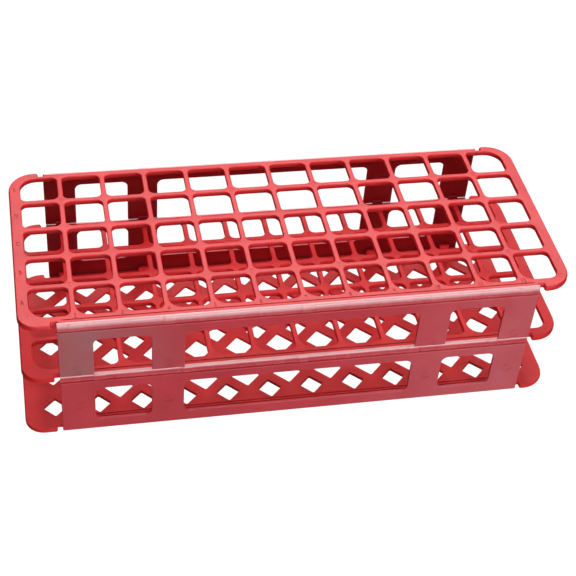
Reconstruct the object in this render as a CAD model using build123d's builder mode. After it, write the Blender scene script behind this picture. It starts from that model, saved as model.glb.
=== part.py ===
"""Three-tier rack for sixty test tubes, moulded in red plastic and shipped flat.

Three mouldings make the rack. The top and middle mouldings are each an open grid shelf with a
front and a rear panel that fold down on living hinges. The bottom moulding is a pierced plate.
The upper panels stand on the middle shelf, and the lower panels stand on the bottom plate.
+X runs along the columns, the front is -Y, +Z is up and the origin is under the middle of the rack.
Lengths are in millimetres.
"""

import os

from build123d import *

# Outline that all three shelves share
LENGTH = 245.0
WIDTH = 104.5
HEIGHT = 65.5
OUTLINE_RADIUS = 12.0
LEFT_FRONT_RADIUS = 8.5

# Grid of places for the tubes
COLUMNS = 12
ROWS = 5
COLUMN_PITCH = 19.8
ROW_PITCH = 19.3
RIB_WIDTH = 2.4
GRID_SETBACK = 1.75
END_RIM_WIDTH = 5.3
FRONT_RIM_WIDTH = 6.0
REAR_RIM_WIDTH = 4.2
GRID_CORNER_RADIUS = 6.0

# Levels of the shelves' top faces, and the depth of each
TOP_LEVEL = HEIGHT
MIDDLE_LEVEL = 34.5
GRID_DEPTH = 2.6
PLATE_DEPTH = 1.6

# Notches that part the rounded ends of a shelf from its hinged length
PANEL_HALF_LENGTH = 106.3
NOTCH_WIDTH = 2.3
NOTCH_DEPTH = 2.5

# Panels, whose outer faces are flush with the shelves' ends
PANEL_THICKNESS = 1.4
UPPER_PANEL_TOP = 60.9
LOWER_PANEL_TOP = 30.5
LOWER_PANEL_BOTTOM = 0.3

# Windows of the panels, which reach higher in the rear ones
WINDOW_RADIUS = 3.0
MIDDLE_WINDOW_WIDTH = 104.4
SIDE_WINDOW_WIDTH = 25.0
SIDE_WINDOW_CENTRE = 79.05
FRONT_UPPER_WINDOW_TOP = 55.7
REAR_UPPER_WINDOW_TOP = 57.9
FRONT_LOWER_WINDOW = (6.2, 25.8)
REAR_LOWER_WINDOW = (9.8, 29.0)

# Living hinges: a quarter turn over the shelf's edge, then a flat band down to the panel
HINGE_RADIUS = 1.4
HINGE_THICKNESS = 0.5
CLEARANCE = 0.3

# Pegs inside the legs that sit on the shelf below, and tabs on the plate that stop them inwards
PEG_WIDTH = 5.0
PEG_DEPTH = 1.2
PEG_HEIGHT = 2.0
TAB_THICKNESS = 1.2
TAB_HEIGHT = 3.0

# Diamond drain holes of the bottom plate: one under each place, and larger ones between those
PLACE_DIAMOND_SIDE = 7.7
BETWEEN_DIAMOND_SIDE = 9.8
DIAMOND_CORNER = 0.6

# Derived sizes
PANEL_FACE = WIDTH / 2
SHELF_EDGE = PANEL_FACE - PANEL_THICKNESS
SPLIT_X = PANEL_HALF_LENGTH + NOTCH_WIDTH / 2
GRID_HALF_LENGTH = LENGTH / 2 - END_RIM_WIDTH
GRID_FRONT = FRONT_RIM_WIDTH - WIDTH / 2
GRID_REAR = WIDTH / 2 - REAR_RIM_WIDTH
GRID_WIDTH = GRID_REAR - GRID_FRONT
GRID_CENTRE = (GRID_REAR + GRID_FRONT) / 2
CROSS_RIB_XS = [(i - (COLUMNS - 2) / 2) * COLUMN_PITCH for i in range(COLUMNS - 1)]
LONG_RIB_YS = [GRID_SETBACK + (i - (ROWS - 2) / 2) * ROW_PITCH for i in range(ROWS - 1)]
PLACE_XS = [(i - (COLUMNS - 1) / 2) * COLUMN_PITCH for i in range(COLUMNS)]
DIAMOND_YS = [(i - (ROWS - 1) / 2) * ROW_PITCH for i in range(ROWS)]
BETWEEN_DIAMOND_YS = [(i - (ROWS - 2) / 2) * ROW_PITCH for i in range(ROWS - 1)]
INNER_LEG_X = (MIDDLE_WINDOW_WIDTH / 2 + SIDE_WINDOW_CENTRE - SIDE_WINDOW_WIDTH / 2) / 2
OUTER_LEG_X = (SIDE_WINDOW_CENTRE + SIDE_WINDOW_WIDTH / 2 + PANEL_HALF_LENGTH) / 2
LEG_XS = [-OUTER_LEG_X, -INNER_LEG_X, INNER_LEG_X, OUTER_LEG_X]

os.makedirs("parts", exist_ok=True)


def write(builder, label):
    """Names a finished piece and writes its STEP file."""
    builder.part.label = label
    export_step(builder.part, f"parts/{label}.step")


def cut_notches():
    """Cuts the four edge notches out of the sketch that is being drawn."""
    with Locations(*[(x, y) for x in (-SPLIT_X, SPLIT_X) for y in (-PANEL_FACE, PANEL_FACE)]):
        Rectangle(NOTCH_WIDTH, 2 * NOTCH_DEPTH, mode=Mode.SUBTRACT)


def draw_outline():
    """Draws the outline of a shelf, whose left front corner is filled out to a tighter radius."""
    RectangleRounded(LENGTH, WIDTH, OUTLINE_RADIUS)
    with Locations((OUTLINE_RADIUS - LENGTH / 2, OUTLINE_RADIUS - WIDTH / 2)):
        RectangleRounded(2 * OUTLINE_RADIUS, 2 * OUTLINE_RADIUS, LEFT_FRONT_RADIUS)


def draw_grid_frame():
    """Draws the closed frame round a shelf's grid, with the hinged lengths set back."""
    draw_outline()
    with Locations((0, -PANEL_FACE), (0, PANEL_FACE)):
        Rectangle(2 * PANEL_HALF_LENGTH, 2 * PANEL_THICKNESS, mode=Mode.SUBTRACT)
    cut_notches()
    with Locations((0, GRID_CENTRE)):
        RectangleRounded(2 * GRID_HALF_LENGTH, GRID_WIDTH, GRID_CORNER_RADIUS, mode=Mode.SUBTRACT)


def make_end_rims(level):
    """The rounded left and right ends of a grid shelf, one solid each."""
    with BuildPart() as rims:
        with BuildSketch(Plane.XY.offset(level - GRID_DEPTH)):
            draw_grid_frame()
            Rectangle(2 * SPLIT_X, WIDTH, mode=Mode.SUBTRACT)
        extrude(amount=GRID_DEPTH)
    return rims


def make_side_rims(level):
    """The front and rear edges of a grid shelf, which carry the hinges, one solid each."""
    with BuildPart() as rims:
        with BuildSketch(Plane.XY.offset(level - GRID_DEPTH)):
            draw_grid_frame()
            Rectangle(2 * SPLIT_X, WIDTH, mode=Mode.INTERSECT)
        extrude(amount=GRID_DEPTH)
    return rims


def make_long_ribs(level):
    """The four ribs that run the length of a grid shelf between the rows."""
    with BuildPart() as ribs:
        with BuildSketch(Plane.XY.offset(level - GRID_DEPTH)):
            with Locations(*[(0, y) for y in LONG_RIB_YS]):
                Rectangle(2 * GRID_HALF_LENGTH, RIB_WIDTH)
        extrude(amount=GRID_DEPTH)
    return ribs


def make_cross_ribs(level):
    """The short ribs between the columns, each from one long rib or rim to the next."""
    fronts = [GRID_FRONT] + [y + RIB_WIDTH / 2 for y in LONG_RIB_YS]
    rears = [y - RIB_WIDTH / 2 for y in LONG_RIB_YS] + [GRID_REAR]
    with BuildPart() as ribs:
        with BuildSketch(Plane.XY.offset(level - GRID_DEPTH)):
            for front, rear in zip(fronts, rears):
                with Locations(*[(x, (front + rear) / 2) for x in CROSS_RIB_XS]):
                    Rectangle(RIB_WIDTH, rear - front)
        extrude(amount=GRID_DEPTH)
    return ribs


def draw_window(centre, width, bottom, top):
    """Draws one window of a panel, in the panel's own plane."""
    with Locations((centre, (bottom + top) / 2)):
        RectangleRounded(width, top - bottom, WINDOW_RADIUS)


def draw_windows(bottom, top):
    """Draws a panel's three windows, which leave its four legs."""
    draw_window(0, MIDDLE_WINDOW_WIDTH, bottom, top)
    draw_window(-SIDE_WINDOW_CENTRE, SIDE_WINDOW_WIDTH, bottom, top)
    draw_window(SIDE_WINDOW_CENTRE, SIDE_WINDOW_WIDTH, bottom, top)


def draw_front_pegs():
    """Draws the pegs inside a front panel's legs, as seen from above."""
    with Locations(*[(x, PEG_DEPTH / 2 - SHELF_EDGE) for x in LEG_XS]):
        Rectangle(PEG_WIDTH, PEG_DEPTH)


def make_front_upper_panel(window_top):
    """The comb-shaped panel under the top shelf, whose feet fit over the middle hinge."""
    foot_radius = HINGE_RADIUS + CLEARANCE
    hinge_axis_z = MIDDLE_LEVEL - HINGE_RADIUS
    with BuildPart() as panel:
        with BuildSketch(Plane.YZ.offset(-PANEL_HALF_LENGTH)):
            with Locations((PANEL_THICKNESS / 2 - PANEL_FACE, (UPPER_PANEL_TOP + hinge_axis_z) / 2)):
                Rectangle(PANEL_THICKNESS, UPPER_PANEL_TOP - hinge_axis_z)
            with Locations((-SHELF_EDGE, hinge_axis_z)):
                Circle(foot_radius, mode=Mode.SUBTRACT)
        extrude(amount=2 * PANEL_HALF_LENGTH)
        with BuildSketch(Plane.XZ):
            draw_windows(0, window_top)
        extrude(amount=WIDTH, both=True, mode=Mode.SUBTRACT)
        with BuildSketch(Plane.XY.offset(MIDDLE_LEVEL + CLEARANCE)):
            draw_front_pegs()
        extrude(amount=PEG_HEIGHT)
    return panel


def make_front_lower_panel(window_bottom, window_top):
    """The panel under the middle shelf, closed along its foot by a strip."""
    with BuildPart() as panel:
        with BuildSketch(Plane.XY.offset(LOWER_PANEL_BOTTOM)):
            with Locations((0, PANEL_THICKNESS / 2 - PANEL_FACE)):
                Rectangle(2 * PANEL_HALF_LENGTH, PANEL_THICKNESS)
        extrude(amount=LOWER_PANEL_TOP - LOWER_PANEL_BOTTOM)
        with BuildSketch(Plane.XZ):
            draw_windows(window_bottom, window_top)
        extrude(amount=WIDTH, both=True, mode=Mode.SUBTRACT)
        with BuildSketch(Plane.XY.offset(PLATE_DEPTH + CLEARANCE)):
            draw_front_pegs()
        extrude(amount=PEG_HEIGHT)
    return panel


def make_front_hinge(level, band_bottom):
    """The thin web from a shelf's front edge, over a quarter turn, down to the panel."""
    turn = (-SHELF_EDGE, level - HINGE_RADIUS)
    inner_radius = HINGE_RADIUS - HINGE_THICKNESS
    inner_face = HINGE_THICKNESS - PANEL_FACE
    with BuildPart() as hinge:
        with BuildSketch(Plane.YZ.offset(-PANEL_HALF_LENGTH)):
            with BuildLine():
                CenterArc(turn, HINGE_RADIUS, 90, 90)
                Line((-PANEL_FACE, turn[1]), (-PANEL_FACE, band_bottom))
                Line((-PANEL_FACE, band_bottom), (inner_face, band_bottom))
                Line((inner_face, band_bottom), (inner_face, turn[1]))
                CenterArc(turn, inner_radius, 90, 90)
                Line((-SHELF_EDGE, level - HINGE_THICKNESS), (-SHELF_EDGE, level))
            make_face()
        extrude(amount=2 * PANEL_HALF_LENGTH)
    return hinge


def write_rear(front, label):
    """Writes the rear piece that mirrors a front one."""
    with BuildPart() as rear:
        mirror(front.part, about=Plane.XZ)
    write(rear, label)


for shelf, shelf_level in (("middle", MIDDLE_LEVEL), ("top", TOP_LEVEL)):
    write(make_end_rims(shelf_level), f"{shelf}_shelf_end_rims")
    write(make_side_rims(shelf_level), f"{shelf}_shelf_side_rims")
    write(make_long_ribs(shelf_level), f"{shelf}_shelf_long_ribs")
    write(make_cross_ribs(shelf_level), f"{shelf}_shelf_cross_ribs")

write(make_front_upper_panel(FRONT_UPPER_WINDOW_TOP), "front_upper_panel")
write_rear(make_front_upper_panel(REAR_UPPER_WINDOW_TOP), "rear_upper_panel")
write(make_front_lower_panel(*FRONT_LOWER_WINDOW), "front_lower_panel")
write_rear(make_front_lower_panel(*REAR_LOWER_WINDOW), "rear_lower_panel")

for tier, hinge_level, panel_top in (
    ("lower", MIDDLE_LEVEL, LOWER_PANEL_TOP),
    ("upper", TOP_LEVEL, UPPER_PANEL_TOP),
):
    hinge = make_front_hinge(hinge_level, panel_top)
    write(hinge, f"front_{tier}_hinge")
    write_rear(hinge, f"rear_{tier}_hinge")

with BuildPart() as bottom_shelf:
    with BuildSketch():
        draw_outline()
        with Locations((0, -PANEL_FACE), (0, PANEL_FACE)):
            setback = PANEL_THICKNESS + CLEARANCE
            Rectangle(2 * (PANEL_HALF_LENGTH + CLEARANCE), 2 * setback, mode=Mode.SUBTRACT)
        cut_notches()
    extrude(amount=PLATE_DEPTH)
    with BuildSketch():
        with Locations(*[(x, y) for x in PLACE_XS for y in DIAMOND_YS]):
            RectangleRounded(PLACE_DIAMOND_SIDE, PLACE_DIAMOND_SIDE, DIAMOND_CORNER, rotation=45)
        with Locations(*[(x, y) for x in CROSS_RIB_XS for y in BETWEEN_DIAMOND_YS]):
            RectangleRounded(BETWEEN_DIAMOND_SIDE, BETWEEN_DIAMOND_SIDE, DIAMOND_CORNER, rotation=45)
    extrude(amount=PLATE_DEPTH, mode=Mode.SUBTRACT)
write(bottom_shelf, "bottom_shelf")

with BuildPart() as bottom_shelf_tabs:
    with BuildSketch(Plane.XY.offset(PLATE_DEPTH)):
        tab_y = SHELF_EDGE - PEG_DEPTH - CLEARANCE - TAB_THICKNESS / 2
        with Locations(*[(x, y) for x in LEG_XS for y in (-tab_y, tab_y)]):
            Rectangle(PEG_WIDTH, TAB_THICKNESS)
    extrude(amount=TAB_HEIGHT)
write(bottom_shelf_tabs, "bottom_shelf_tabs")
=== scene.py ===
"""Looks of a three-tier rack for sixty test tubes, moulded in red plastic.

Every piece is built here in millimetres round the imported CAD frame, and turned to metres as it is
made: two grid shelves, the pierced bottom plate, four panels and the living hinges that carry them.
+X runs along the columns, the front is -Y and +Z is up.
"""

import math

import bmesh
import bpy
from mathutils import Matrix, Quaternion, Vector
from mathutils.geometry import tessellate_polygon


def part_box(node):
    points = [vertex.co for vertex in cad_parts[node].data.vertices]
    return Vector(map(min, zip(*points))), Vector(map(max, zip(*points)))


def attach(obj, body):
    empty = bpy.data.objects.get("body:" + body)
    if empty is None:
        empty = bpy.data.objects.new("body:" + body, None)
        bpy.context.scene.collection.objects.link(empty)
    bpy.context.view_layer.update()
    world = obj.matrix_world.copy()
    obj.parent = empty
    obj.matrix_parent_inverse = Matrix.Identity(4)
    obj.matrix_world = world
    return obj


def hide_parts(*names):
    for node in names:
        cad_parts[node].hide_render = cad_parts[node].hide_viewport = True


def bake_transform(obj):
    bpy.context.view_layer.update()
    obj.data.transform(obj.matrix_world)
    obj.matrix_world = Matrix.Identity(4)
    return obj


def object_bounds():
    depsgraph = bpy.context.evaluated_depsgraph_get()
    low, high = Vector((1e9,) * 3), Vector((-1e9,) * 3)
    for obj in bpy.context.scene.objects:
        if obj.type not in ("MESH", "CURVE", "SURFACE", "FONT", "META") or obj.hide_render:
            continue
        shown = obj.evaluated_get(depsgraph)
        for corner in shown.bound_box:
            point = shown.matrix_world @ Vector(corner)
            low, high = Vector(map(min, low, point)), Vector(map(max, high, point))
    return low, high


MM = 0.001

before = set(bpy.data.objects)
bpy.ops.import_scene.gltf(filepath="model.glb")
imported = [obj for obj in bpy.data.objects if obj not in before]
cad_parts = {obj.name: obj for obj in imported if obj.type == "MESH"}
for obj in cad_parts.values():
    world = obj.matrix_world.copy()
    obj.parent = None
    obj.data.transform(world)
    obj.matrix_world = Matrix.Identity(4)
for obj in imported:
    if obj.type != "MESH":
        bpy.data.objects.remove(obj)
cad_low, cad_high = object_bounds()


def box_mm(node):
    """The lowest and highest corners of a CAD node, in millimetres."""
    low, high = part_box(node)
    return low / MM, high / MM


# Sizes read from the frame
end_low, end_high = box_mm("top_shelf_end_rims")
long_low, long_high = box_mm("top_shelf_long_ribs")
cross_low, cross_high = box_mm("top_shelf_cross_ribs")
lower_low, lower_high = box_mm("front_lower_panel")
side_high = box_mm("top_shelf_side_rims")[1]
middle_high = box_mm("middle_shelf_end_rims")[1]
plate_high = box_mm("bottom_shelf")[1]
upper_high = box_mm("front_upper_panel")[1]
tab_high = box_mm("bottom_shelf_tabs")[1]

HALF_LENGTH = end_high.x
HALF_WIDTH = end_high.y
TOP_LEVEL = end_high.z
MIDDLE_LEVEL = middle_high.z
GRID_DEPTH = end_high.z - end_low.z
PLATE_DEPTH = plate_high.z
TAB_TOP = tab_high.z
TAB_OUTER = tab_high.y
HALF_PANEL = upper_high.x
SHELF_EDGE = side_high.y
GRID_HALF_LENGTH = long_high.x
GRID_FRONT = cross_low.y
GRID_REAR = cross_high.y
UPPER_PANEL_TOP = upper_high.z
LOWER_PANEL_TOP = lower_high.z
LOWER_PANEL_BOTTOM = lower_low.z

# Grid of the places
COLUMNS = 12
ROWS = 5
RIB_WIDTH = 2.4
COLUMN_PITCH = (cross_high.x - cross_low.x - RIB_WIDTH) / (COLUMNS - 2)
ROW_PITCH = (long_high.y - long_low.y - RIB_WIDTH) / (ROWS - 2)
CROSS_RIB_XS = [cross_low.x + RIB_WIDTH / 2 + i * COLUMN_PITCH for i in range(COLUMNS - 1)]
LONG_RIB_YS = [long_low.y + RIB_WIDTH / 2 + i * ROW_PITCH for i in range(ROWS - 1)]
PLACE_XS = [CROSS_RIB_XS[0] + (i - 0.5) * COLUMN_PITCH for i in range(COLUMNS)]
PLACE_YS = [LONG_RIB_YS[0] + (i - 0.5) * ROW_PITCH for i in range(ROWS)]

# Outline and cells of a shelf
OUTLINE_RADIUS = 12.0
LEFT_FRONT_RADIUS = 8.5
NOTCH_WIDTH = 2.3
NOTCH_DEPTH = 2.5
NOTCH_RADII = (0.15, 0.4, 0.9)
SHELF_HINGE_RADIUS = 0.8
PLATE_HINGE_RADIUS = 0.6
PLATE_SETBACK = 0.3
CELL_RADIUS = 2.8
NUMBER_CORNER_RADIUS = 6.0
END_CORNER_RADIUS = 7.5
FRONT_RIGHT_RADIUS = 5.0

# Meshing: the least number a corner's inset is divided by, and the angle of a sharp edge in degrees
MITRE_LIMIT = 0.3
SHARP_ANGLE = 50

# Edges of the mouldings
TOP_FILLET = 0.5
LOW_FILLET = 0.3
DRAFT = 0.15
PARTING_DROP = 0.95
PARTING_STEP = 0.22
PARTING_RISE = 0.2
FILLET_STEPS = 3
HOLE_LOW_FILLET = 0.15
HOLE_HIGH_FILLET = 0.25
HOLE_DRAFT = 0.05

# Panels
SIDES = {"front": -1, "rear": 1}
PANEL_THICKNESS = HALF_WIDTH - SHELF_EDGE
WINDOW_RADIUS = 3.0
MIDDLE_WINDOW_WIDTH = 104.4
SIDE_WINDOW_WIDTH = 25.0
SIDE_WINDOW_CENTRE = 79.05
UPPER_WINDOW_TOPS = {"front": 55.7, "rear": 57.9}
LOWER_WINDOWS = {"front": (6.2, 25.8), "rear": (9.8, 29.0)}
FOOT_CLEARANCE = 0.05
PANEL_FILLET = 0.3
PANEL_CORNER = 0.4
FOOT_CORNER = 0.5
PANEL_RINGS = (2.6, 1.6)
UPPER_RING_XS = (-98.9, -59.4, 59.4, 98.7)
UPPER_RING_RISE = 3.6
LOWER_RING_XS = (-98.3, -58.9, 59.6, 99.1)
LOWER_RING_Z = 15.6
PEG_WIDTH = 5.0
PEG_DEPTH = 1.2
PEG_HEIGHT = 2.0
TAB_THICKNESS = 1.2
BLOCK_CORNER = 0.3
BLOCK_FILLET = 0.2
BLOCK_SINK = 0.2
INNER_LEG_X = (MIDDLE_WINDOW_WIDTH / 2 + SIDE_WINDOW_CENTRE - SIDE_WINDOW_WIDTH / 2) / 2
OUTER_LEG_X = (SIDE_WINDOW_CENTRE + SIDE_WINDOW_WIDTH / 2 + HALF_PANEL) / 2
LEG_XS = [-OUTER_LEG_X, -INNER_LEG_X, INNER_LEG_X, OUTER_LEG_X]

# Living hinges. A web's last three points rise over the top of its panel by WEB_FOOT_RISES
WEB_THICKNESS = 0.5
WEB_OVERLAP = 0.4
WEB_START_SINK = 0.02
WEB_TOP_SINK = 0.08
WEB_REACH = 1.12
WEB_DROP = 2.3
WEB_FOOT_RECESS = 0.45
WEB_FOOT_RISES = (0.9, 0.5, -0.5)
WEB_SPANS = 106
BEND_STEPS = 10

# How far below its shelf's top a web starts to pale, going up, and from where it is fully pale. The pale
# band is partly the stress whitening of a folded hinge and partly a painted highlight on its upper bend
WHITENED_AND_LIT_BANDS = {"upper": (3.0, 1.4), "lower": (1.5, 0.6)}

# Slow waves along a web's outer face: height, length of one radian, and shift per unit of level.
# They fade in over the first FADE_STEPS points of its path.
WAVES = ((0.03, 7.3, 1), (0.02, 3.1, 2))
WAVE_OFFSET = 0.05
FADE_STEPS = 5

# Thicker patches of a web, from left to right edge, and how far they stand out over a short edge
UPPER_PATCHES = [(-101.7, -95.8), (-61.3, -56.7), (-2.0, 3.3), (55.8, 61.7), (97.5, 102.5)]
LOWER_PATCHES = [(-91.7, -86.3), (-53.0, -48.8), (-1.7, 3.3), (50.0, 54.0), (87.5, 91.7)]
PATCH_STEP = 0.2
PATCH_EDGE = 0.12

# Marks in the plastic
LABEL_HEIGHT = 2.8
CAPITAL_SHARE = 0.73
LABEL_SQUEEZE = 0.68
LABEL_DEPTH = 0.5
FIRST_NUMBER_PLACE = (-118.0, -45.8)
NUMBER_Y = -46.95
NUMBER_SHIFT = 0.7
LETTER_X = -119.8
GROOVE_WIDTH = 0.55
GROOVE_DEPTH = 0.5
GROOVE_Y = -48.8
GROOVE_END_GAP = 2
RING_WIDTH = 0.45
RING_DEPTH = 0.12
SHELF_RING_RADIUS = 1.25
RINGED_COLUMNS = (0, 4, 6, 10)
RINGED_ROWS = (0, 3)
RIM_RINGS = [(119.9, 1.75), (117.9, -45.4)]

# Diamond drain holes of the plate
PLACE_DIAMOND_SIDE = 7.7
BETWEEN_DIAMOND_SIDE = 9.8
DIAMOND_CORNER = 0.6

# Low ridges behind the plate's front edge
RIDGE_YS = (-47.6, -46.2, -44.8)
RIDGE_HEIGHT = 0.35
RIDGE_HALF_LENGTH = 104
RIDGE_HALF_WIDTH = 0.4
RIDGE_FILLET = 0.25


# --- Loops -----------------------------------------------------------------------------------


def rounded_loop(corners, steps=6):
    """A closed loop through (u, v, radius) corners, each turned by an arc of its radius."""
    loop = []
    for i, (u, v, radius) in enumerate(corners):
        corner = Vector((u, v))
        if radius == 0:
            loop.append(corner)
            continue
        before = (Vector(corners[i - 1][:2]) - corner).normalized()
        after = (Vector(corners[(i + 1) % len(corners)][:2]) - corner).normalized()
        half = before.angle(after) / 2
        centre = corner + (before + after).normalized() * radius / math.sin(half)
        reach = radius / math.tan(half)
        start = corner + before * reach - centre
        end = corner + after * reach - centre
        first = math.atan2(start.y, start.x)
        sweep = math.remainder(math.atan2(end.y, end.x) - first, math.tau)
        for step in range(steps + 1):
            turn = first + sweep * step / steps
            loop.append(centre + Vector((math.cos(turn), math.sin(turn))) * radius)
    return loop


def rectangle(left, bottom, right, top, radii, steps=6):
    """A rounded rectangle, with radii for its left bottom, right bottom, right top and left top."""
    places = ((left, bottom), (right, bottom), (right, top), (left, top))
    return rounded_loop([(u, v, radius) for (u, v), radius in zip(places, radii)], steps)


def circle(centre_u, centre_v, radius, steps=24):
    """A circle as a closed loop."""
    turns = [math.tau * i / steps for i in range(steps)]
    return [Vector((centre_u + radius * math.cos(t), centre_v + radius * math.sin(t))) for t in turns]


def diamond(centre_u, centre_v, side):
    """One drain hole of the plate, a square stood on its corner."""
    half = side / math.sqrt(2)
    corners = ((half, 0), (0, half), (-half, 0), (0, -half))
    return rounded_loop([(centre_u + u, centre_v + v, DIAMOND_CORNER) for u, v in corners], 4)


def block_loop(centre_u, centre_v, half_u, half_v):
    """The outline of a small block: a ridge, a tab or a peg."""
    left, bottom = centre_u - half_u, centre_v - half_v
    right, top = centre_u + half_u, centre_v + half_v
    return rectangle(left, bottom, right, top, [BLOCK_CORNER] * 4, 3)


def hole(loop):
    """The same loop run the other way, so that the material lies on its left."""
    return loop[::-1]


def inset_loop(loop, distance):
    """The loop moved sideways by a distance, towards the material on its left."""
    moved = []
    for i, point in enumerate(loop):
        before = (point - loop[i - 1]).normalized()
        after = (loop[(i + 1) % len(loop)] - point).normalized()
        normal = Vector((-before.y - after.y, before.x + after.x)).normalized()
        left = Vector((-after.y, after.x))
        moved.append(point + normal * distance / max(normal.dot(left), MITRE_LIMIT))
    return moved


def edge_profile(low, high, low_fillet, high_fillet, draft):
    """(inset, height) pairs up a moulded edge: low fillet, drafted wall, high fillet."""
    pairs = []
    for step in range(FILLET_STEPS + 1):
        turn = math.pi / 2 * step / FILLET_STEPS
        pairs.append((draft + low_fillet * (1 - math.sin(turn)), low + low_fillet * (1 - math.cos(turn))))
    for step in range(FILLET_STEPS + 1):
        turn = math.pi / 2 * step / FILLET_STEPS
        pairs.append((high_fillet * (1 - math.cos(turn)), high - high_fillet * (1 - math.sin(turn))))
    return pairs


def parted_profile(low, high, high_fillet):
    """The profile of an outer edge, stepped in a little above the mould's parting line."""
    pairs = edge_profile(low, high, LOW_FILLET, high_fillet, 0)
    below = pairs[: FILLET_STEPS + 1]
    above = [(inset + PARTING_STEP, height) for inset, height in pairs[FILLET_STEPS + 1 :]]
    parting = high - PARTING_DROP
    half = PARTING_RISE / 2
    return below + [(0, parting - half), (PARTING_STEP, parting + half)] + above


def glyph_loops(text, centre_u, centre_v):
    """The outlines of a number or letter of the built-in font, centred on a point."""
    curve = bpy.data.curves.new("glyph", "FONT")
    curve.body = text
    curve.size = LABEL_HEIGHT / CAPITAL_SHARE
    curve.resolution_u = 3
    curve.align_x = "CENTER"
    curve.align_y = "CENTER"
    letter = bpy.data.objects.new("glyph", curve)
    bpy.context.scene.collection.objects.link(letter)
    bpy.context.view_layer.update()
    outline = bmesh.new()
    outline.from_mesh(letter.to_mesh())
    bmesh.ops.remove_doubles(outline, verts=outline.verts, dist=1e-4)
    followers = {}
    for edge in outline.edges:
        if len(edge.link_faces) == 1:
            corner = edge.link_loops[0]
            followers[corner.vert.index] = corner.link_loop_next.vert.index
    outline.verts.ensure_lookup_table()
    loops = []
    while followers:
        first = min(followers)
        at = followers.pop(first)
        path = [first]
        while at != first:
            path.append(at)
            at = followers.pop(at)
        places = [outline.verts[i].co for i in path]
        loops.append([Vector((centre_u + co.x * LABEL_SQUEEZE, centre_v + co.y)) for co in places])
    outline.free()
    letter.to_mesh_clear()
    bpy.data.objects.remove(letter)
    return loops


# --- Moulded pieces --------------------------------------------------------------------------


class Moulding:
    """Gathers the points and faces of one moulded piece, as (u, v, height)."""

    def __init__(self):
        self.points = []
        self.faces = []

    def add_ring(self, loop, height):
        """Adds a loop's points at one height, and returns their numbers."""
        first = len(self.points)
        self.points.extend((point[0], point[1], height) for point in loop)
        return list(range(first, len(self.points)))

    def add_wall(self, one, two):
        """Joins two rings of the same length by four-sided faces."""
        for i in range(len(one)):
            self.faces.append((one[i - 1], one[i], two[i], two[i - 1]))

    def add_sides(self, loop, profile):
        """Carries a loop up a profile, and returns its first and last rings."""
        rings = [self.add_ring(inset_loop(loop, inset), height) for inset, height in profile]
        for lower, upper in zip(rings, rings[1:]):
            self.add_wall(lower, upper)
        return rings[0], rings[-1]

    def add_pockets(self, groups, height, floor):
        """Sinks groups of loops into a face, each with its own floor, and returns the rings in the face."""
        in_face = []
        for loops in groups:
            floors = []
            for loop in loops:
                top = self.add_ring(loop, height)
                bottom = self.add_ring(loop, floor)
                self.add_wall(top, bottom)
                in_face.append(top)
                floors.append(bottom)
            self.add_cap(floors)
        return in_face

    def add_cap(self, rings):
        """Fills a flat face between rings: inside the outer ones and outside those within them."""
        numbers = [number for ring in rings for number in ring]
        loops = [[Vector((*self.points[number][:2], 0)) for number in ring] for ring in rings]
        for triangle in tessellate_polygon(loops):
            self.faces.append(tuple(numbers[corner] for corner in triangle))

    def add_block(self, loop, low, high, fillet):
        """Adds a small closed block with rounded edges at its high end."""
        first, last = self.add_sides(loop, edge_profile(low, high, 0, fillet, 0)[FILLET_STEPS:])
        self.add_cap([first])
        self.add_cap([last])

    def build(self, name, place, material):
        """Makes the mesh object, with each (u, v, height) put in space by place()."""
        mesh = bpy.data.meshes.new(name)
        mesh.from_pydata([Vector(place(*point)) * MM for point in self.points], [], self.faces)
        shell = bmesh.new()
        shell.from_mesh(mesh)
        bmesh.ops.recalc_face_normals(shell, faces=shell.faces)
        shell.to_mesh(mesh)
        shell.free()
        return shaded_object(name, mesh, material)


def shaded_object(name, mesh, material):
    """Links a mesh as an object with smooth fillets and crisp flat faces."""
    mesh.shade_smooth()
    mesh.set_sharp_from_angle(angle=math.radians(SHARP_ANGLE))
    mesh.materials.append(material)
    piece = bpy.data.objects.new(name, mesh)
    bpy.context.scene.collection.objects.link(piece)
    weighted = piece.modifiers.new("flat_faces", "WEIGHTED_NORMAL")
    weighted.keep_sharp = True
    return piece


def flat(u, v, height):
    """Puts a shelf's points in space."""
    return u, v, height


# --- Shelves ---------------------------------------------------------------------------------


def shelf_outline(edge, end_radius):
    """The rounded outline with its four notches, whose hinged lengths lie at +-edge."""
    notch_end = HALF_PANEL + NOTCH_WIDTH
    notch_floor = HALF_WIDTH - NOTCH_DEPTH
    inner_radius, outer_radius, lip_radius = NOTCH_RADII
    quarter = [
        (HALF_PANEL, edge, end_radius),
        (HALF_PANEL, notch_floor, inner_radius),
        (notch_end, notch_floor, outer_radius),
        (notch_end, HALF_WIDTH, lip_radius),
        (HALF_LENGTH, HALF_WIDTH, OUTLINE_RADIUS),
    ]
    front_right = [(u, -v, radius) for u, v, radius in quarter]
    rear_right = [(u, v, radius) for u, v, radius in quarter[::-1]]
    rear_left = [(-u, v, radius) for u, v, radius in quarter]
    front_left = [(-u, -v, radius) for u, v, radius in quarter[::-1]]
    front_left[0] = (-HALF_LENGTH, -HALF_WIDTH, LEFT_FRONT_RADIUS)
    return rounded_loop(front_right + rear_right + rear_left + front_left, 8)


def cell_radii(column, row):
    """A cell's corner radii: left front, right front, right rear and left rear."""
    radii = [CELL_RADIUS] * 4
    if row == 0:
        radii[0] = NUMBER_CORNER_RADIUS
    if row == 0 and column == 0:
        radii[0] = END_CORNER_RADIUS
    if row == 0 and column == COLUMNS - 1:
        radii[1] = FRONT_RIGHT_RADIUS
    if row == ROWS - 1 and column == COLUMNS - 1:
        radii[2] = END_CORNER_RADIUS
    if row == ROWS - 1 and column == 0:
        radii[3] = END_CORNER_RADIUS
    return radii


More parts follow.
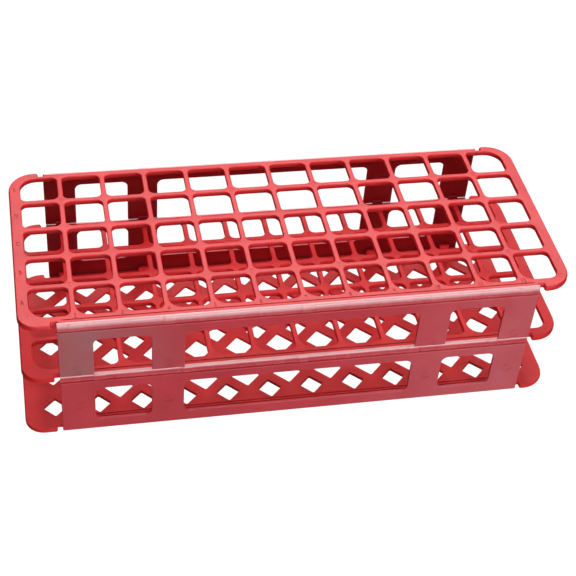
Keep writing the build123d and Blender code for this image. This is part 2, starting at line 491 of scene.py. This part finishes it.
def cell_loops():
    """The openings of the sixty places."""
    lefts = [-GRID_HALF_LENGTH] + [x + RIB_WIDTH / 2 for x in CROSS_RIB_XS]
    rights = [x - RIB_WIDTH / 2 for x in CROSS_RIB_XS] + [GRID_HALF_LENGTH]
    fronts = [GRID_FRONT] + [y + RIB_WIDTH / 2 for y in LONG_RIB_YS]
    rears = [y - RIB_WIDTH / 2 for y in LONG_RIB_YS] + [GRID_REAR]
    loops = []
    for column in range(COLUMNS):
        for row in range(ROWS):
            radii = cell_radii(column, row)
            loops.append(hole(rectangle(lefts[column], fronts[row], rights[column], rears[row], radii)))
    return loops


def ejector_ring(u, v, radius):
    """The faint ring that an ejector pin leaves, as a pocket's two loops."""
    return [circle(u, v, radius), circle(u, v, radius - RING_WIDTH)]


def groove_pockets():
    """The fine groove along the front rim, behind the hinge."""
    low = GROOVE_Y - GROOVE_WIDTH / 2
    radii = [GROOVE_WIDTH / 2 - 0.01] * 4
    end = HALF_PANEL - GROOVE_END_GAP
    return [[rectangle(-end, low, end, low + GROOVE_WIDTH, radii, 3)]]


def shelf_rings():
    """Ejector rings on the crossings of the ribs and on the end rims."""
    crossings = [(CROSS_RIB_XS[i], LONG_RIB_YS[j]) for i in RINGED_COLUMNS for j in RINGED_ROWS]
    return [ejector_ring(x, y, SHELF_RING_RADIUS) for x, y in crossings + RIM_RINGS]


def label_pockets():
    """Column numbers along the front rim and row letters up the left one."""
    pockets = [glyph_loops("1", *FIRST_NUMBER_PLACE)]
    for number in range(2, COLUMNS + 1):
        pockets.append(glyph_loops(str(number), CROSS_RIB_XS[number - 2] + NUMBER_SHIFT, NUMBER_Y))
    for letter, y in zip("ABCDE", PLACE_YS):
        pockets.append(glyph_loops(letter, LETTER_X, y))
    return pockets


def make_grid_shelf(name, level, labels, material):
    """One grid shelf in a single moulding: rims, ribs, rounded cells, grooves and marks."""
    shelf = Moulding()
    outline = shelf_outline(SHELF_EDGE, SHELF_HINGE_RADIUS)
    first, last = shelf.add_sides(outline, parted_profile(level - GRID_DEPTH, level, TOP_FILLET))
    bottom_rings = [first]
    top_rings = [last]
    cell_profile = edge_profile(level - GRID_DEPTH, level, LOW_FILLET, TOP_FILLET, DRAFT)
    for loop in cell_loops():
        first, last = shelf.add_sides(loop, cell_profile)
        bottom_rings.append(first)
        top_rings.append(last)
    top_rings += shelf.add_pockets(groove_pockets(), level, level - GROOVE_DEPTH)
    top_rings += shelf.add_pockets(shelf_rings(), level, level - RING_DEPTH)
    top_rings += shelf.add_pockets(labels, level, level - LABEL_DEPTH)
    shelf.add_cap(bottom_rings)
    shelf.add_cap(top_rings)
    return shelf.build(name, flat, material)


def make_bottom_plate(material):
    """The bottom plate with its diamond holes, the ridges behind its front edge and the tabs."""
    plate = Moulding()
    outline = shelf_outline(SHELF_EDGE - PLATE_SETBACK, PLATE_HINGE_RADIUS)
    first, last = plate.add_sides(outline, parted_profile(0, PLATE_DEPTH, LOW_FILLET))
    bottom_rings = [first]
    top_rings = [last]
    hole_profile = edge_profile(0, PLATE_DEPTH, HOLE_LOW_FILLET, HOLE_HIGH_FILLET, HOLE_DRAFT)
    row_ys = [(i - (ROWS - 1) / 2) * ROW_PITCH for i in range(ROWS)]
    between_ys = [(i - (ROWS - 2) / 2) * ROW_PITCH for i in range(ROWS - 1)]
    diamonds = [(x, y, PLACE_DIAMOND_SIDE) for x in PLACE_XS for y in row_ys]
    diamonds += [(x, y, BETWEEN_DIAMOND_SIDE) for x in CROSS_RIB_XS for y in between_ys]
    for x, y, side in diamonds:
        first, last = plate.add_sides(hole(diamond(x, y, side)), hole_profile)
        bottom_rings.append(first)
        top_rings.append(last)
    plate.add_cap(bottom_rings)
    plate.add_cap(top_rings)
    start = PLATE_DEPTH - BLOCK_SINK
    for y in RIDGE_YS:
        ridge = block_loop(0, y, RIDGE_HALF_LENGTH, RIDGE_HALF_WIDTH)
        plate.add_block(ridge, start, PLATE_DEPTH + RIDGE_HEIGHT, RIDGE_FILLET)
    tab_centre = TAB_OUTER - TAB_THICKNESS / 2
    for x in LEG_XS:
        for y in (-tab_centre, tab_centre):
            tab = block_loop(x, y, PEG_WIDTH / 2, TAB_THICKNESS / 2)
            plate.add_block(tab, start, TAB_TOP, BLOCK_FILLET)
    return plate.build("bottom_plate", flat, material)


# --- Panels ----------------------------------------------------------------------------------


def window_edges():
    """The left and right edges of a panel's three windows."""
    half = SIDE_WINDOW_WIDTH / 2
    middle = MIDDLE_WINDOW_WIDTH / 2
    side = SIDE_WINDOW_CENTRE
    return [(-side - half, -side + half), (-middle, middle), (side - half, side + half)]


def upper_panel_outline(foot, window_top):
    """The comb of the upper panel, whose windows are open below."""
    corners = [(-HALF_PANEL, foot, FOOT_CORNER)]
    for left, right in window_edges():
        corners.append((left, foot, FOOT_CORNER))
        corners.append((left, window_top, WINDOW_RADIUS))
        corners.append((right, window_top, WINDOW_RADIUS))
        corners.append((right, foot, FOOT_CORNER))
    corners.append((HALF_PANEL, foot, FOOT_CORNER))
    corners.append((HALF_PANEL, UPPER_PANEL_TOP, PANEL_CORNER))
    corners.append((-HALF_PANEL, UPPER_PANEL_TOP, PANEL_CORNER))
    return rounded_loop(corners)


def add_panel_face(panel, outline, windows, ring_places):
    """Gives a panel its sides, its windows and both faces, with ejector rings in the outer one."""
    profile = edge_profile(0, PANEL_THICKNESS, PANEL_FILLET, PANEL_FILLET, 0)
    outer_rings = []
    inner_rings = []
    for loop in [outline] + windows:
        first, last = panel.add_sides(loop, profile)
        outer_rings.append(first)
        inner_rings.append(last)
    rings = []
    for x, z in ring_places:
        rings += [ejector_ring(x, z, radius) for radius in PANEL_RINGS]
    outer_rings += panel.add_pockets(rings, 0, RING_DEPTH)
    panel.add_cap(outer_rings)
    panel.add_cap(inner_rings)


def add_pegs(panel, low):
    """Adds the pegs inside the legs, which rest on the shelf below."""
    for x in LEG_XS:
        peg = block_loop(x, low + PEG_HEIGHT / 2, PEG_WIDTH / 2, PEG_HEIGHT / 2)
        panel.add_block(peg, PANEL_THICKNESS - BLOCK_SINK, PANEL_THICKNESS + PEG_DEPTH, BLOCK_FILLET)


def facing(face):
    """Puts a panel's points in space, at the front or at the rear."""
    side = SIDES[face]
    return lambda u, v, height: (u, side * (HALF_WIDTH - height), v)


def make_upper_panel(face, material):
    """The panel under the top shelf, whose feet stand over the middle hinge."""
    panel = Moulding()
    foot = MIDDLE_LEVEL + FOOT_CLEARANCE
    rings = [(x, MIDDLE_LEVEL + UPPER_RING_RISE) for x in UPPER_RING_XS]
    outline = upper_panel_outline(foot, UPPER_WINDOW_TOPS[face])
    add_panel_face(panel, outline, [], rings)
    add_pegs(panel, foot)
    return panel.build(f"{face}_upper_side", facing(face), material)


def make_lower_panel(face, material):
    """The panel under the middle shelf, closed along its foot by a strip."""
    panel = Moulding()
    corners = [PANEL_CORNER] * 4
    outline = rectangle(-HALF_PANEL, LOWER_PANEL_BOTTOM, HALF_PANEL, LOWER_PANEL_TOP, corners)
    windows = []
    window_bottom, window_top = LOWER_WINDOWS[face]
    for left, right in window_edges():
        window = rectangle(left, window_bottom, right, window_top, [WINDOW_RADIUS] * 4)
        windows.append(hole(window))
    rings = [(x, LOWER_RING_Z) for x in LOWER_RING_XS]
    add_panel_face(panel, outline, windows, rings)
    add_pegs(panel, PLATE_DEPTH + FOOT_CLEARANCE)
    return panel.build(f"{face}_lower_side", facing(face), material)


# --- Living hinges ---------------------------------------------------------------------------


def web_path(level, foot):
    """The outer line of the web: out of the shelf's edge, over the bend and down to the panel."""
    path = [Vector((SHELF_EDGE - WEB_OVERLAP, level - WEB_TOP_SINK - WEB_START_SINK))]
    for step in range(BEND_STEPS + 1):
        turn = math.pi / 2 * step / BEND_STEPS
        y = SHELF_EDGE + WEB_REACH * math.sin(turn)
        z = level - WEB_TOP_SINK - WEB_DROP * (1 - math.cos(turn))
        path.append(Vector((y, z)))
    outside = SHELF_EDGE + WEB_REACH
    recessed = outside - WEB_FOOT_RECESS
    for y, rise in zip((outside, recessed, recessed), WEB_FOOT_RISES):
        path.append(Vector((y, foot + rise)))
    return path


def web_section(path, outwards):
    """A closed section of the web, with its outer line moved outwards by a little below the top."""
    outer = []
    inner = []
    for i, point in enumerate(path):
        before = path[max(i - 1, 0)]
        after = path[min(i + 1, len(path) - 1)]
        along = (after - before).normalized()
        normal = Vector((-along.y, along.x))
        outer.append(point + normal * outwards * min(i / FADE_STEPS, 1))
        inner.append(point - normal * WEB_THICKNESS)
    return outer + inner[::-1]


def make_web(name, side, level, foot, patches, material):
    """The thin web that a panel folds on, with thicker patches where the plastic ran in."""
    edges = [x for patch in patches for x in patch]
    stations = [-HALF_PANEL + 2 * HALF_PANEL * i / WEB_SPANS for i in range(WEB_SPANS + 1)]
    stations += [x + shift for x in edges for shift in (-PATCH_EDGE, PATCH_EDGE)]
    web = Moulding()
    rings = []
    for x in sorted(stations):
        in_patch = any(left < x < right for left, right in patches)
        wave = sum(rise * math.sin(x / length + shift * level) for rise, length, shift in WAVES)
        outwards = wave + (PATCH_STEP if in_patch else 0) - WAVE_OFFSET
        section = web_section(web_path(level, foot), outwards)
        first = len(web.points)
        web.points.extend((x, side * y, z) for y, z in section)
        rings.append(list(range(first, len(web.points))))
    for one, two in zip(rings, rings[1:]):
        web.add_wall(one, two)
    for ring in (rings[0], rings[-1]):
        half = len(ring) // 2
        for i in range(half - 1):
            web.faces.append((ring[i], ring[i + 1], ring[-2 - i], ring[-1 - i]))
    return web.build(name, flat, material)


# --- Materials -------------------------------------------------------------------------------

# Sockets of a Mix node that blends colours, which share their names with its other sockets
MIX_FIRST_COLOUR = 6
MIX_SECOND_COLOUR = 7
MIX_COLOUR_OUTPUT = 2

# The pale colour of a hinge web's upper bend: stress-whitened plastic with a painted highlight in it
PALED_AND_LIT_PLASTIC = (0.95, 0.5, 0.52)

# Noise in the plastic: scale, detail and seed
FLOW_NOISE = (45, 3, 1.0)
SHEEN_NOISE = (160, 2, 2.0)
PEEL_NOISE = (900, 4, 3.0)
SINK_NOISE = (55, 2, 4.0)
PAINTED_LIGHT_NOISE = (70, 3, 5.0)
STREAK_NOISE = (40, 3, 6.0)


class Nodes:
    """A material's node tree with short calls to add and link nodes."""

    def __init__(self, name):
        self.material = bpy.data.materials.new(name)
        self.material.use_nodes = True
        self.tree = self.material.node_tree
        self.shader = self.tree.nodes["Principled BSDF"]

    def add(self, kind, **settings):
        """Adds a node with the settings given by attribute or input name."""
        node = self.tree.nodes.new(kind)
        for key, value in settings.items():
            if key in node.inputs:
                node.inputs[key].default_value = value
            else:
                setattr(node, key, value)
        return node

    def link(self, source, output, target, entry):
        """Links an output of one node to an input of another."""
        self.tree.links.new(source.outputs[output], target.inputs[entry])


def noise(nodes, place, scale, detail, seed):
    """A noise texture in the object's own space."""
    texture = nodes.add("ShaderNodeTexNoise", noise_dimensions="4D", Scale=scale, Detail=detail, W=seed)
    nodes.link(place, "Object", texture, "Vector")
    return texture


def map_range(tree, source, output, taken, given, interpolation="LINEAR"):
    """A node that turns one (low, high) range of a value into another."""
    spread = tree.nodes.new("ShaderNodeMapRange")
    spread.interpolation_type = interpolation
    tree.links.new(source.outputs[output], spread.inputs["Value"])
    spread.inputs["From Min"].default_value, spread.inputs["From Max"].default_value = taken
    spread.inputs["To Min"].default_value, spread.inputs["To Max"].default_value = given
    return spread


def mapped(nodes, texture, low, high):
    """Spreads a noise texture's middle values over a range."""
    return map_range(nodes.tree, texture, 0, (0.3, 0.7), (low, high))


def multiplied(nodes, one, two):
    """The product of two values."""
    product = nodes.add("ShaderNodeMath", operation="MULTIPLY")
    nodes.link(one, 0, product, 0)
    nodes.link(two, 0, product, 1)
    return product


def mixed_over(nodes, base, colour, amount):
    """A colour laid over another node's colour by an amount."""
    mix = nodes.add("ShaderNodeMix", data_type="RGBA")
    nodes.link(amount, 0, mix, "Factor")
    nodes.link(base, MIX_COLOUR_OUTPUT, mix, MIX_FIRST_COLOUR)
    mix.inputs[MIX_SECOND_COLOUR].default_value = (*colour, 1)
    return mix


def make_plastic(name, deep, light, roughness, subsurface, specular=0.5, painted_patches=(), whitened_and_lit=None):
    """Red moulded polypropylene: flow mottling, fine orange peel, a little light let through."""
    nodes = Nodes(name)
    place = nodes.add("ShaderNodeTexCoord")
    flow = noise(nodes, place, *FLOW_NOISE)
    tint = nodes.add("ShaderNodeMix", data_type="RGBA")
    nodes.link(mapped(nodes, flow, 0, 1), 0, tint, "Factor")
    tint.inputs[MIX_FIRST_COLOUR].default_value = (*deep, 1)
    tint.inputs[MIX_SECOND_COLOUR].default_value = (*light, 1)
    colour = tint
    # Pale patches of painted light laid over the colour: painted reflections and painted highlights
    for painted_patch in painted_patches:
        colour = add_haze(nodes, place, colour, painted_patch)
    # A pale band up a hinge web: stress whitening with a painted highlight in it
    if whitened_and_lit:
        colour = add_whitening(nodes, place, colour, *whitened_and_lit)
    nodes.link(colour, MIX_COLOUR_OUTPUT, nodes.shader, "Base Color")
    sheen = noise(nodes, place, *SHEEN_NOISE)
    nodes.link(mapped(nodes, sheen, roughness - 0.05, roughness + 0.06), 0, nodes.shader, "Roughness")
    peel = noise(nodes, place, *PEEL_NOISE)
    sink = noise(nodes, place, *SINK_NOISE)
    fine = nodes.add("ShaderNodeBump", Strength=0.25, Distance=0.00004)
    nodes.link(peel, 0, fine, "Height")
    broad = nodes.add("ShaderNodeBump", Strength=0.35, Distance=0.0006)
    nodes.link(sink, 0, broad, "Height")
    nodes.link(fine, "Normal", broad, "Normal")
    nodes.link(broad, "Normal", nodes.shader, "Normal")
    nodes.shader.inputs["Subsurface Weight"].default_value = subsurface
    nodes.shader.inputs["Subsurface Radius"].default_value = (1.0, 0.12, 0.12)
    nodes.shader.inputs["Subsurface Scale"].default_value = 0.0015
    nodes.shader.inputs["IOR"].default_value = 1.49
    nodes.shader.inputs["Specular IOR Level"].default_value = specular
    return nodes.material


def add_haze(nodes, place, tint, painted_patch):
    """Lightens the colour round a point with painted light, fading outwards through a cloudy noise: used
    for a painted reflection and a painted highlight on the front panels.
    """
    centre, reach, colour = painted_patch
    offset = nodes.add("ShaderNodeVectorMath", operation="SUBTRACT")
    nodes.link(place, "Object", offset, 0)
    offset.inputs[1].default_value = centre
    distance = nodes.add("ShaderNodeVectorMath", operation="LENGTH")
    nodes.link(offset, "Vector", distance, 0)
    fade = map_range(nodes.tree, distance, "Value", (reach * 0.15, reach), (1, 0), "SMOOTHSTEP")
    cloud = mapped(nodes, noise(nodes, place, *PAINTED_LIGHT_NOISE), 0.5, 0.9)
    return mixed_over(nodes, tint, colour, multiplied(nodes, fade, cloud))


def add_whitening(nodes, place, tint, low, high):
    """Pales a hinge web from a low to a high level: partly the whitening of plastic stretched by folding,
    partly a painted highlight on the web's upper bend.
    """
    parts = nodes.add("ShaderNodeSeparateXYZ")
    nodes.link(place, "Object", parts, 0)
    rise = map_range(nodes.tree, parts, "Z", (low * MM, high * MM), (0, 1), "SMOOTHSTEP")
    streaks = mapped(nodes, noise(nodes, place, *STREAK_NOISE), 0.7, 0.95)
    return mixed_over(nodes, tint, PALED_AND_LIT_PLASTIC, multiplied(nodes, rise, streaks))


# --- Pieces ----------------------------------------------------------------------------------

SHELF_REDS = ((0.62, 0.02, 0.024), (0.74, 0.03, 0.034))
PANEL_REDS = ((0.53, 0.036, 0.054), (0.64, 0.05, 0.07))
WEB_REDS = ((0.6, 0.06, 0.08), (0.7, 0.1, 0.12))
# Painted light on the front panels, each a centre and a reach in metres and a colour: a painted reflection
# that pales the upper panel's left leg, and a painted highlight that lightens the right side of both front
# panels
LEFT_PAINTED_REFLECTION = ((-0.108, -0.052, 0.046), 0.075, (0.42, 0.16, 0.17))
RIGHT_PAINTED_HIGHLIGHT = ((0.11, -0.052, 0.02), 0.11, (0.64, 0.13, 0.155))

top_plastic = make_plastic("top_shelf_plastic", *SHELF_REDS, 0.38, 0.12)
low_plastic = make_plastic("low_shelf_plastic", *SHELF_REDS, 0.42, 0.12, specular=0.2)
rear_plastic = make_plastic("rear_plastic", *PANEL_REDS, 0.42, 0.2)
finishes = {"rear_upper": rear_plastic, "rear_lower": rear_plastic}
# The front upper panel gets the painted highlight on its right and the painted reflection on its left leg;
# the front lower one gets only the painted highlight
for half, painted_patches in (("upper", (RIGHT_PAINTED_HIGHLIGHT, LEFT_PAINTED_REFLECTION)), ("lower", (RIGHT_PAINTED_HIGHLIGHT,))):
    finishes[f"front_{half}"] = make_plastic(f"front_{half}_plastic", *PANEL_REDS, 0.4, 0.2, painted_patches=painted_patches)
web_finishes = {}
# Hinge webs pale towards the top: part stress whitening, part painted highlight
for half, level in (("upper", TOP_LEVEL), ("lower", MIDDLE_LEVEL)):
    band = [level - drop for drop in WHITENED_AND_LIT_BANDS[half]]
    web_finishes[half] = make_plastic(f"{half}_web_plastic", *WEB_REDS, 0.26, 0.2, whitened_and_lit=band)


def grid_nodes(shelf):
    """The CAD nodes that one grid shelf stands for."""
    return [f"{shelf}_shelf_{part}" for part in ("end_rims", "side_rims", "long_ribs", "cross_ribs")]


top_shelf = make_grid_shelf("top_grid_shelf", TOP_LEVEL, label_pockets(), top_plastic)
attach(top_shelf, "top_tier")
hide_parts(*grid_nodes("top"))

middle_shelf = make_grid_shelf("middle_grid_shelf", MIDDLE_LEVEL, [], low_plastic)
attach(middle_shelf, "middle_tier")
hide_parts(*grid_nodes("middle"))

bottom_plate = make_bottom_plate(low_plastic)
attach(bottom_plate, "bottom_tier")
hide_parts("bottom_shelf", "bottom_shelf_tabs")

for face, side in SIDES.items():
    upper_panel = make_upper_panel(face, finishes[f"{face}_upper"])
    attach(upper_panel, f"{face}_upper_flap")
    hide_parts(f"{face}_upper_panel")

    lower_panel = make_lower_panel(face, finishes[f"{face}_lower"])
    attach(lower_panel, f"{face}_lower_flap")
    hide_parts(f"{face}_lower_panel")
    if face == "rear":
        rear_panels = [upper_panel, lower_panel]

    for tier, half, level, foot, patches in (
        ("top", "upper", TOP_LEVEL, UPPER_PANEL_TOP, UPPER_PATCHES),
        ("middle", "lower", MIDDLE_LEVEL, LOWER_PANEL_TOP, LOWER_PATCHES),
    ):
        web = make_web(f"{face}_{half}_web", side, level, foot, patches, web_finishes[half])
        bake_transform(web)
        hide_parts(f"{face}_{half}_hinge")


# --- Stage -----------------------------------------------------------------------------------

FLOOR_HALF = 6.0
FLOOR_DROP = 0.0004
WHITE_GLOW = 1.05

# Lights: azimuth and elevation in degrees, distance, width and height in metres, power in watts
SOFTBOXES = {
    "overhead": (180, 80, 1.2, 1.1, 0.9, 13),
    "rear": (168, 46, 1.3, 1.2, 0.7, 8),
    "front": (14, 8, 1.2, 1.3, 0.16, 11),
    "below": (0, -80, 1.2, 1.2, 1.2, 4),
}

# Camera: the point it looks at, distance and lens in millimetres, and angles in degrees
CAMERA_TARGET = (-5.98, -39.98, TOP_LEVEL)
CAMERA_AZIMUTH = -14.308
CAMERA_ELEVATION = 42.196
CAMERA_ROLL = 5.306
CAMERA_DISTANCE = 593.85
CAMERA_LENS = 85.306


def make_floor():
    """A plain white floor, seen from above only, that keeps the rack's surroundings bright."""
    mesh = bpy.data.meshes.new("floor")
    signs = ((-1, -1), (1, -1), (1, 1), (-1, 1))
    mesh.from_pydata([(u * FLOOR_HALF, v * FLOOR_HALF, 0) for u, v in signs], [], [(0, 1, 2, 3)])
    floor = bpy.data.objects.new("floor", mesh)
    floor.location.z = -FLOOR_DROP
    bpy.context.scene.collection.objects.link(floor)
    nodes = Nodes("floor_white")
    glow = nodes.add("ShaderNodeEmission", Color=(1, 1, 1, 1), Strength=WHITE_GLOW)
    clear = nodes.add("ShaderNodeBsdfTransparent")
    face = nodes.add("ShaderNodeNewGeometry")
    mix = nodes.add("ShaderNodeMixShader")
    nodes.link(face, "Backfacing", mix, "Fac")
    nodes.link(glow, 0, mix, 1)
    nodes.link(clear, 0, mix, 2)
    nodes.link(mix, 0, nodes.tree.nodes["Material Output"], "Surface")
    nodes.tree.nodes.remove(nodes.shader)
    mesh.materials.append(nodes.material)
    floor.visible_diffuse = False
    floor.visible_glossy = False
    floor.visible_transmission = False
    floor.visible_shadow = False


def make_world():
    """Dim white surroundings that only fill the shadows, and a white background to the camera."""
    world = bpy.data.worlds.new("studio")
    world.use_nodes = True
    tree = world.node_tree
    background = tree.nodes["Background"]
    background.inputs["Color"].default_value = (1, 1, 1, 1)
    place = tree.nodes.new("ShaderNodeTexCoord")
    parts = tree.nodes.new("ShaderNodeSeparateXYZ")
    tree.links.new(place.outputs["Generated"], parts.inputs[0])
    lift = map_range(tree, parts, "Z", (-0.4, 0.5), (0.012, 0.04))
    path = tree.nodes.new("ShaderNodeLightPath")
    seen = tree.nodes.new("ShaderNodeMix")
    tree.links.new(path.outputs["Is Camera Ray"], seen.inputs["Factor"])
    tree.links.new(lift.outputs[0], seen.inputs[2])
    seen.inputs[3].default_value = WHITE_GLOW
    tree.links.new(seen.outputs[0], background.inputs["Strength"])
    bpy.context.scene.world = world


def direction(azimuth, elevation):
    """The unit vector towards an azimuth, counted from the front, and an elevation, in degrees."""
    turn, rise = math.radians(azimuth), math.radians(elevation)
    return Vector((math.sin(turn) * math.cos(rise), -math.cos(turn) * math.cos(rise), math.sin(rise)))


def make_softbox(name, azimuth, elevation, distance, width, height, power):
    """A soft area light that faces the rack's middle. Angles are in degrees, and lengths in metres."""
    back = direction(azimuth, elevation)
    light = bpy.data.lights.new(name, "AREA")
    light.shape = "RECTANGLE"
    light.size = width
    light.size_y = height
    light.energy = power
    holder = bpy.data.objects.new(name, light)
    holder.location = (cad_low + cad_high) / 2 + back * distance
    holder.rotation_mode = "QUATERNION"
    holder.rotation_quaternion = (-back).to_track_quat("-Z", "Y")
    bpy.context.scene.collection.objects.link(holder)
    return holder


def shade_from(light, pieces):
    """Keeps a light off some pieces, which stand in the shade of the rest."""
    shaded = bpy.data.collections.new(f"{light.name}_shaded")
    light.light_linking.receiver_collection = shaded
    for piece in pieces:
        shaded.objects.link(piece)
    for member in shaded.collection_objects:
        member.light_linking.link_state = "EXCLUDE"


def make_camera():
    """The camera, above the rack's front left, turned a little about its own axis."""
    back = direction(CAMERA_AZIMUTH, CAMERA_ELEVATION)
    roll = Quaternion((0, 0, 1), math.radians(CAMERA_ROLL))
    data = bpy.data.cameras.new("camera")
    data.lens = CAMERA_LENS
    data.sensor_width = 36
    data.clip_start = 0.01
    data.clip_end = 50
    camera = bpy.data.objects.new("camera", data)
    camera.location = Vector(CAMERA_TARGET) * MM + back * (CAMERA_DISTANCE * MM)
    camera.rotation_mode = "QUATERNION"
    camera.rotation_quaternion = (-back).to_track_quat("-Z", "Y") @ roll
    bpy.context.scene.collection.objects.link(camera)
    bpy.context.scene.camera = camera


make_floor()
make_world()
lights = {name: make_softbox(name, *settings) for name, settings in SOFTBOXES.items()}
shade_from(lights["front"], rear_panels)
make_camera()
bpy.context.scene.view_settings.view_transform = "Standard"
